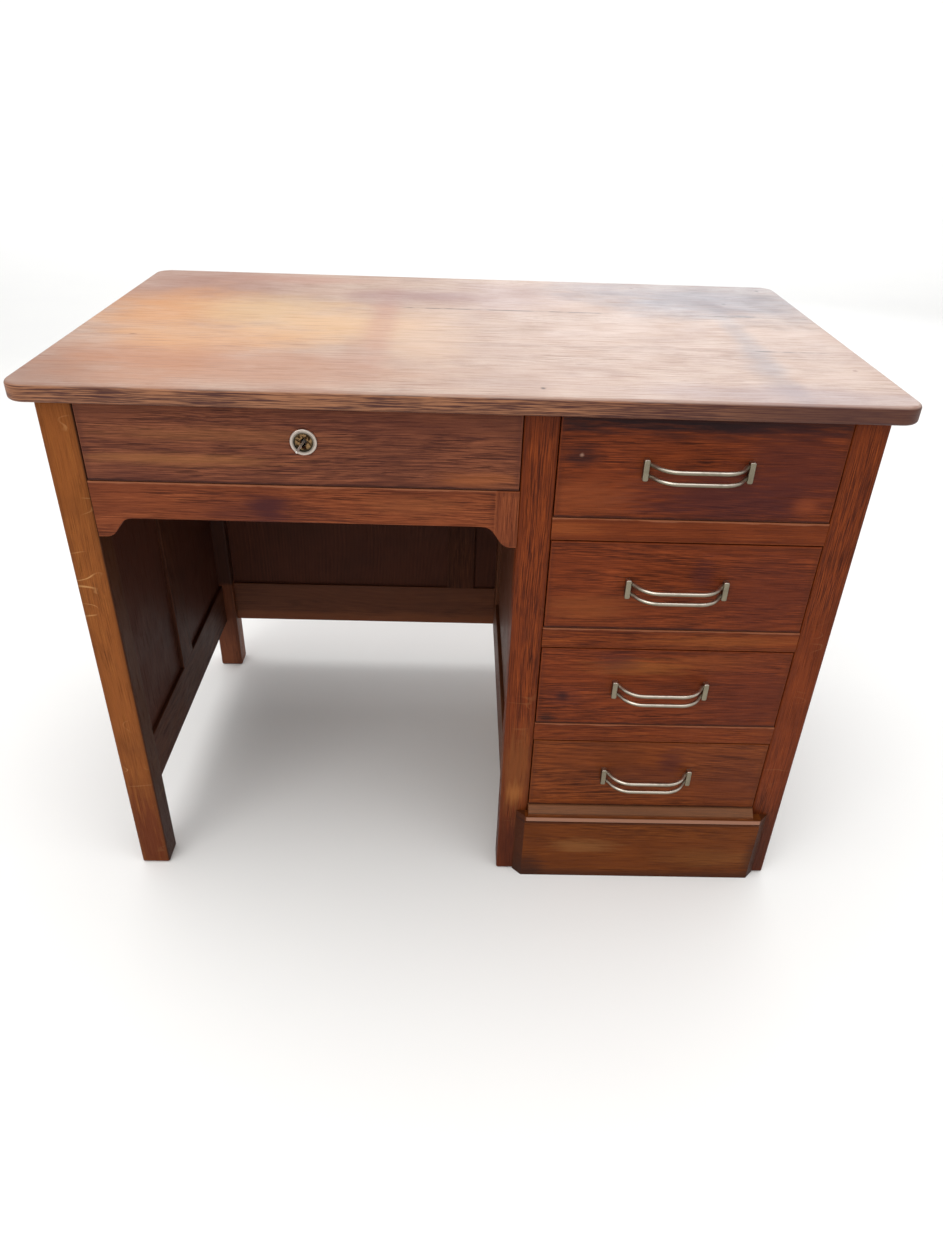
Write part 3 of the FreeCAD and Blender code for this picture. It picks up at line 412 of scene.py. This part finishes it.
def top_finish(graph, place, colour, roughness):
    """Patches, cracks along the joints, a darker edge, and varnish left only on the right."""
    x, y, z = graph.split(place)
    size = [TOP_HIGH[index] - TOP_LOW[index] for index in range(2)]
    clouds = graph.vector("MULTIPLY", place, (9.0, 16.0, 9.0))
    ragged = graph.centred(graph.noise(clouds, 1.0, 5.0, 0.6), 1.5)
    fine = graph.centred(graph.noise(place, 260.0, 2.0), 0.6)
    for u, v, half_length, half_width, tint, strength in TOP_MARKS:
        small = max(half_length, half_width) < SMALL_MARK
        edge = fine if small else ragged
        spot = patch(graph, x, y, (TOP_LOW[0] + u * size[0], TOP_LOW[1] + v * size[1]),
                     (half_length, half_width), edge)
        colour = graph.mix(graph.times(spot, strength), colour, srgb(*tint))

    # fine dark lines along the grain, most of them towards the front left
    lines = graph.noise(graph.vector("MULTIPLY", place, (11.0, 330.0, 330.0)), 1.0, 3.0, 0.65)
    middle_y = TOP_LOW[1] + 0.5 * size[1]
    front_left = graph.fade(graph.times_add(x, 0.35, y), middle_y, TOP_LOW[1], 0.35, 0.65)
    colour = graph.mix(graph.times(graph.fade(lines, 0.5, 0.68), front_left), colour, srgb(140, 98, 82))

    # where each open joint lies, its begin and end along the top, and how much of it has closed
    cracks = [(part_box("top_board_rear")[0].y, 0.403, 0.71, 0.48),
              (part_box("top_board_rear")[0].y, 0.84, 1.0, 0.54),
              (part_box("top_board_middle")[0].y, 0.858, 0.971, 0.53)]
    for seam_y, begin, end, threshold in cracks:
        sway = graph.noise(graph.vector("MULTIPLY", place, (7.0, 0.0, 0.0)), 1.0, 2.0)
        swayed = graph.add(y, graph.centred(sway, 0.004))
        away = graph.math("ABSOLUTE", graph.math("SUBTRACT", swayed, seam_y))
        line = graph.fade(away, 0.0022, 0.0008)
        start_x, end_x = TOP_LOW[0] + begin * size[0], TOP_LOW[0] + end * size[0]
        line = graph.times(line, graph.times(graph.fade(x, start_x, start_x + 0.02),
                                             graph.fade(x, end_x, end_x - 0.02)))
        open_here = graph.fade(graph.noise(graph.vector("MULTIPLY", place, (22.0, 0.0, 0.0)), 1.0, 2.0),
                               threshold - 0.06, threshold + 0.04, 0.25, 1.0)
        colour = graph.mix(graph.times(line, open_here), colour, srgb(36, 20, 16))

    below = graph.fade(z, TOP_HIGH[2] - 0.0005, TOP_HIGH[2] - 0.0035)
    grain = graph.noise(graph.vector("MULTIPLY", place, (16.0, 16.0, 700.0)), 1.0, 3.0, 0.7)
    blotch = graph.fade(graph.add(grain, graph.centred(graph.noise(place, 9.0, 3.0), 0.3)), 0.38, 0.62)
    edge_colour = graph.mix(blotch, srgb(*EDGE_PALE), srgb(*EDGE_DARK))
    right = graph.fade(x, TOP_LOW[0] + 0.55 * size[0], TOP_LOW[0] + 0.9 * size[0], 0.0, 0.85)
    edge_colour = graph.mix(right, edge_colour, srgb(*EDGE_DARK))
    colour = graph.mix(below, colour, graph.mix(0.15, edge_colour, colour, "MULTIPLY"))
    varnish = graph.fade(x, TOP_LOW[0] + 0.25 * size[0], TOP_LOW[0] + 0.75 * size[0])
    varnish = graph.times(varnish, graph.math("SUBTRACT", 1.0, below))
    return colour, graph.times_add(varnish, -0.12, graph.add(roughness, 0.06)), TOP_SHINE


# ------------------------------------------------------------------ painted shade and dark patina in the knee hole
KNEE_LEFT = sum(corner.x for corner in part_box("left_side_bottom_rail")) / 2
KNEE_RIGHT = sum(corner.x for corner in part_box("pedestal_side_bottom_rail")) / 2
KNEE_BACK = sum(corner.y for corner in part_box("back_bottom_rail")) / 2
REAR_LEG_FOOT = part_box("back_bottom_rail")[1].z
REAR_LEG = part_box("rear_left_leg")
LEFT_LEG_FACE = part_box("front_left_leg")[1].x
BEVEL_RUN = 0.013                    # length of the plinth's bevelled ends
# colours of painted shade and patina in the knee hole
KNEE_SHADE_AND_PATINA, LEG_SHADE_AND_PATINA, REAR_LEG_SHADE_AND_PATINA = srgb(54, 34, 30), srgb(40, 24, 20), srgb(38, 24, 22)


def knee_shade_and_patina(graph, place, colour, roughness):
    """Wood that faces the knee hole is darker and duller than the outer faces: a darker patina, and
    painted shade of the knee hole.
    """
    x, y, _ = graph.split(place)
    inside = graph.times(graph.fade(x, KNEE_LEFT - 0.002, KNEE_LEFT + 0.002),
                         graph.fade(x, KNEE_RIGHT + 0.002, KNEE_RIGHT - 0.002))
    inside = graph.times(inside, graph.fade(y, KNEE_BACK + 0.002, KNEE_BACK - 0.002))
    # painted shade of the knee hole, with patina
    colour = graph.mix(graph.times(inside, 0.5), colour, KNEE_SHADE_AND_PATINA)
    return colour, roughness, 0.06


def pedestal_patina(graph, place, colour, roughness):
    """The pedestal's inner side has kept more of its colour."""
    return graph.mix(0.3, colour, srgb(112, 72, 50)), roughness, WORN_SHINE


def rail_patina(graph, place, colour, roughness):
    """The lower rail at the back is bleached in a wavy strip along its lower edge."""
    colour = graph.mix(0.4, colour, srgb(104, 66, 50))
    z = graph.split(place)[2]
    waves = graph.noise(graph.vector("MULTIPLY", place, (9.0, 0.0, 30.0)), 1.0, 3.0)
    height = graph.add(z, graph.centred(waves, 0.03))
    height = graph.math("SUBTRACT", height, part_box("back_bottom_rail")[0].z)
    strip = graph.times(graph.fade(height, 0.026, 0.012), 0.7)
    return graph.mix(strip, colour, srgb(122, 72, 46)), roughness, WORN_SHINE


def rear_leg_shade_and_patina(graph, place, colour, roughness):
    """The rear leg's faces in the knee hole are dark above its foot: painted shade of the knee hole,
    with patina.
    """
    x, y, z = graph.split(place)
    low, high = REAR_LEG
    inner = graph.math("MAXIMUM", graph.fade(x, high.x - 0.0036, high.x - 0.0012),
                       graph.fade(y, low.y + 0.0036, low.y + 0.0012))
    ragged = graph.centred(graph.noise(place, 30.0, 3.0), 0.02)
    dark = graph.times(inner, graph.fade(graph.add(z, ragged), REAR_LEG_FOOT, REAR_LEG_FOOT + 0.01))
    return graph.mix(graph.times(dark, 0.75), colour, REAR_LEG_SHADE_AND_PATINA), roughness, WORN_SHINE


def left_leg_shade_and_patina(graph, place, colour, roughness):
    """The left leg is dark on the face towards the knee hole: painted shade of the knee hole, with
    patina.
    """
    x = graph.split(place)[0]
    inner = graph.fade(x, LEFT_LEG_FACE - 0.0022, LEFT_LEG_FACE - 0.0006)
    return graph.mix(graph.times(inner, 0.8), colour, LEG_SHADE_AND_PATINA), roughness, 0.1


def plinth_finish(graph, place, colour, roughness):
    """The moulding on top is worn pale and painted with a highlight, the bevelled end faces and the
    dark line below the moulding are painted shade, and the board darkens towards the floor.
    """
    x, y, z = graph.split(place)
    low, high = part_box("plinth_board")
    inset = graph.math("MINIMUM", graph.math("SUBTRACT", x, low.x), graph.math("SUBTRACT", high.x, x))
    # painted shade on the bevelled end faces
    end_shade = graph.times(graph.fade(inset, BEVEL_RUN + 0.001, BEVEL_RUN - 0.001), 0.75)
    colour = graph.mix(end_shade, colour, srgb(56, 26, 14))
    from_top = graph.math("SUBTRACT", high.z, z)
    front = graph.fade(y, low.y + 0.0032, low.y + 0.0015)
    # painted highlight on the moulding, with wear
    bead_highlight = graph.times(front, graph.fade(from_top, 0.0095, 0.0085))
    colour = graph.mix(graph.times(bead_highlight, 0.65), colour, srgb(172, 128, 106))
    # painted shade in the groove below the moulding
    groove_shade = graph.times(graph.fade(from_top, 0.0145, 0.0132), graph.fade(from_top, 0.0085, 0.0095))
    colour = graph.mix(graph.times(groove_shade, 0.5), colour, srgb(44, 22, 16))
    foot = graph.times(graph.fade(z, 0.02, 0.004), 0.55)
    return graph.mix(foot, colour, srgb(48, 28, 20)), roughness, 0.08


def sill_finish(graph, place, colour, roughness):
    """The sloping ledge is greyish where it faces up: dusty and worn, and painted with the light
    falling from above.
    """
    up = graph.split(graph.node("ShaderNodeTexCoord").outputs["Normal"])[2]
    # paler grey on upward faces: dust, and painted light from above
    dust_and_sheen = graph.times(graph.fade(up, 0.3, 0.6), 0.3)
    return graph.mix(dust_and_sheen, colour, srgb(136, 104, 80)), roughness, 0.15


def front_finish(node):
    """A drawer front with an irregular dark line along its lower edge: soiling and wear, and painted
    shade of the gap below.
    """
    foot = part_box(node)[0].z

    def finish(graph, place, colour, roughness):
        rough_edge = graph.noise(graph.vector("MULTIPLY", place, (45.0, 45.0, 150.0)), 1.0, 3.0)
        from_foot = graph.math("SUBTRACT", graph.split(place)[2], foot)
        # painted shade of the gap under the drawer, with soiling
        dirt_and_gap_shade = graph.fade(graph.add(from_foot, graph.centred(rough_edge, 0.005)), 0.0042, 0.0014)
        return graph.mix(graph.times(dirt_and_gap_shade, 0.75), colour, srgb(38, 16, 14)), roughness, WORN_SHINE
    return finish


def front_rail_finish(node):
    """A front rail whose upper arris is worn pale by the drawer above and painted with a highlight
    where it catches the light.
    """
    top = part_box(node)[1].z

    def finish(graph, place, colour, roughness):
        rough_edge = graph.noise(graph.vector("MULTIPLY", place, (30.0, 30.0, 90.0)), 1.0, 3.0)
        from_top = graph.math("SUBTRACT", top, graph.split(place)[2])
        # painted highlight along the upper arris, with wear
        rubbed_and_highlight = graph.fade(graph.add(from_top, graph.centred(rough_edge, 0.006)), 0.0026, 0.0010)
        return graph.mix(graph.times(rubbed_and_highlight, 0.5), colour, srgb(160, 102, 72)), roughness, WORN_SHINE
    return finish


FINISHES = {"plinth_board": plinth_finish, "pedestal_sill_rail": sill_finish,
            "back_bottom_rail": rail_patina, "rear_left_leg": rear_leg_shade_and_patina,
            "front_left_leg": left_leg_shade_and_patina}


# ------------------------------------------------------------------ metal
def metal_material(name, lit_top, shaded_under, tarnish, roughness=0.3, brass_disc=None):
    """Plated metal, painted lighter on its upper faces as a highlight and darker below as painted
    shade, with soft tarnish.
    """
    material, graph, shader = start_material(name)
    place = graph.node("ShaderNodeTexCoord").outputs["Object"]
    upward = graph.split(graph.node("ShaderNodeTexCoord").outputs["Normal"])[2]
    # painted highlight on faces that look up, painted shade on those that look down
    colour = graph.mix(graph.fade(upward, -0.1, 0.75), srgb(*shaded_under), srgb(*lit_top))
    patches = graph.fade(graph.noise(place, 60.0, 3.0, 0.55), 0.45, 0.75, 0.0, 0.5)
    colour = graph.mix(patches, colour, srgb(*tarnish))
    rough = graph.times_add(patches, 0.25, roughness)
    if brass_disc:
        x, _, z = graph.split(place)
        centre, radius = brass_disc
        away = graph.length(graph.math("SUBTRACT", x, centre.x), graph.math("SUBTRACT", z, centre.z))
        disc = graph.fade(away, radius + 0.0002, radius - 0.0002)
        mottled = graph.mix(graph.fade(graph.noise(place, 300.0, 3.0, 0.65), 0.42, 0.58),
                            srgb(146, 116, 80), srgb(50, 34, 20))
        inner = graph.fade(away, radius + 0.0024, radius + 0.0008, 0.0, 0.65)
        colour = graph.mix(inner, colour, srgb(84, 78, 66))
        rim = graph.fade(away, radius - 0.0028, radius - 0.0008)
        colour = graph.mix(disc, colour, graph.mix(rim, mottled, srgb(70, 62, 48)))
        rough = graph.times_add(disc, 0.15, rough)
    graph.feed(shader.inputs["Base Color"], colour)
    graph.feed(shader.inputs["Roughness"], rough)
    shader.inputs["Metallic"].default_value = 1.0
    bump = graph.node("ShaderNodeBump", {"Height": graph.noise(place, 600.0, 3.0), "Strength": 0.08,
                                         "Distance": 0.0002})
    graph.feed(shader.inputs["Normal"], bump.outputs["Normal"])
    return material


def dress(node, material):
    """Give a CAD node its finished material."""
    mesh = NODES[node].data
    mesh.materials.clear()
    mesh.materials.append(material)


SLOT_OF = {part["node"]: part["material_slot"] for part in frame["record"]["subparts"]}
LOCK_LOW, LOCK_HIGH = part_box("lock_escutcheon")
DISC_SHARE = 0.72                    # brass disc's radius as a share of the ring's
LOCK_DISC = ((LOCK_LOW + LOCK_HIGH) / 2, DISC_SHARE * (LOCK_HIGH.x - LOCK_LOW.x) / 2)
METALS = {
    "nickel": metal_material("worn_nickel", (212, 203, 190), (128, 120, 102), (104, 96, 78)),
    "lock_bezel": metal_material("lock_nickel", (222, 210, 202), (184, 172, 162), (130, 116, 100),
                                 brass_disc=LOCK_DISC),
    "lock_steel": metal_material("lock_steel", (244, 240, 236), (220, 214, 208), (150, 142, 132), 0.45),
}
OWN_TONES = {"front_left_leg": "left_leg", "rear_left_leg": "rear_leg",
             "knee_drawer_front": "knee_drawer",
             "drawer_4_front": "drawer_4",
             "knee_rail": "knee_rail", "knee_rail_bracket_block": "knee_rail"}
FRONTS = ("knee_drawer_front", "drawer_1_front", "drawer_2_front", "drawer_3_front", "drawer_4_front")
FRONT_RAILS = ("knee_rail", "pedestal_rail_1", "pedestal_rail_2", "pedestal_rail_3")
SEED_STEP = 0.61                     # keeps the figures of neighbouring boards apart


def finish_of(node):
    """The further finish of one oak board, or None."""
    if node in FRONTS:
        return front_finish(node)
    if node in FRONT_RAILS:
        return front_rail_finish(node)
    if node in TOP_NODES:
        return top_finish
    if node.startswith("pedestal_side"):
        return pedestal_patina
    if node in FINISHES:
        return FINISHES[node]
    return knee_shade_and_patina if node.startswith(("left_side", "back_")) else None


def grain_order(node):
    """Panels have upright grain. Every other board has it along its longest side."""
    if not node.endswith(("panels", "panel")):
        return None
    return (2, 0, 1) if node.startswith("back") else (2, 1, 0)


for number, node in enumerate(sorted(NODES)):
    slot = SLOT_OF[node]
    if slot in METALS:
        dress(node, METALS[slot])
    else:
        tone = TONES[OWN_TONES.get(node, slot)]
        seed = 1.0 + SEED_STEP * number
        dress(node, oak_material(node, seed, tone, grain_order(node), finish_of(node)))


# ------------------------------------------------------------------ floor, light and camera
def make_stage():
    """A wide pale floor that curves up behind the desk."""
    width, near, far, bend, wall = 12.0, -6.0, 6.0, 3.0, 7.0
    profile = [(near, 0.0), (far, 0.0)]
    steps = 16
    for step in range(1, steps + 1):
        angle = step / steps * math.pi / 2
        profile.append((far + bend * math.sin(angle), bend * (1 - math.cos(angle))))
    profile.append((far + bend, wall))
    mesh = bpy.data.meshes.new("backdrop")
    corners = [(side * width, y, z) for y, z in profile for side in (-1, 1)]
    faces = [(2 * k, 2 * k + 1, 2 * k + 3, 2 * k + 2) for k in range(len(profile) - 1)]
    mesh.from_pydata(corners, [], faces)
    mesh.shade_smooth()
    backdrop = bpy.data.objects.new("backdrop", mesh)
    bpy.context.scene.collection.objects.link(backdrop)
    paper, graph, shader = start_material("backdrop_paper")
    place = graph.node("ShaderNodeTexCoord").outputs["Object"]
    shade = graph.mix(graph.noise(place, 3.0, 4.0), srgb(241, 241, 241), srgb(244, 244, 243))
    graph.feed(shader.inputs["Base Color"], shade)
    shader.inputs["Roughness"].default_value = 0.9
    shader.inputs["Specular IOR Level"].default_value = 0.1
    mesh.materials.append(paper)


def area_light(name, place, target, size, power, colour=(1.0, 1.0, 1.0)):
    """A soft rectangular light at place, facing target."""
    data = bpy.data.lights.new(name, "AREA")
    data.shape = "RECTANGLE"
    data.size, data.size_y = size
    data.energy = power
    data.color = colour
    light = bpy.data.objects.new(name, data)
    light.location = place
    light.rotation_euler = (Vector(target) - Vector(place)).to_track_quat("-Z", "Y").to_euler()
    bpy.context.scene.collection.objects.link(light)


ROOM_STRENGTH = 0.72


def make_lights():
    """An even pale room, a big soft window behind on the right and a weaker one in front."""
    world = bpy.data.worlds.new("studio")
    world.use_nodes = True
    world.node_tree.nodes["Background"].inputs["Color"].default_value = (1.0, 1.0, 0.995, 1)
    world.node_tree.nodes["Background"].inputs["Strength"].default_value = ROOM_STRENGTH
    bpy.context.scene.world = world
    area_light("overhead", (0.0, -0.2, 3.6), (0.0, 0.0, 0.0), (5.0, 4.0), 90, (1.0, 0.99, 0.97))
    area_light("window_behind", (1.5, 3.6, 1.7), (0.35, 0.0, 0.77), (3.2, 1.6), 20, (0.98, 0.98, 1.0))
    area_light("backdrop_wash", (0.0, 4.6, 5.2), (0.0, 9.0, 3.4), (9.0, 2.0), 260)
    area_light("front_fill", (-1.6, -2.8, 2.6), (0.0, 0.0, 0.4), (2.4, 1.8), 34, (1.0, 0.98, 0.95))


# The camera is in front of the knee hole, about 0.3 m above the top, looking down.
CAMERA_PLACE = (-0.011, -1.2776, 1.0840)
CAMERA_PITCH, CAMERA_YAW, CAMERA_ROLL = 32.58, -1.42, -2.02
FOCAL_SHARE = 891.9 / 1258           # focal length as a share of the frame's long side
SENSOR = 36.0


def make_camera():
    """A camera with no shift and no depth of field."""
    data = bpy.data.cameras.new("camera")
    data.sensor_width = SENSOR
    data.lens = SENSOR * FOCAL_SHARE
    camera = bpy.data.objects.new("camera", data)
    turn = (Matrix.Rotation(math.radians(CAMERA_YAW), 4, "Z")
            @ Matrix.Rotation(math.radians(-CAMERA_PITCH), 4, "X")
            @ Matrix.Rotation(math.radians(CAMERA_ROLL), 4, "Y")
            @ Matrix.Rotation(math.radians(90), 4, "X"))
    camera.matrix_world = Matrix.Translation(CAMERA_PLACE) @ turn
    bpy.context.scene.collection.objects.link(camera)
    bpy.context.scene.camera = camera


make_stage()
make_lights()
make_camera()
bpy.context.scene.view_settings.view_transform = "Standard"
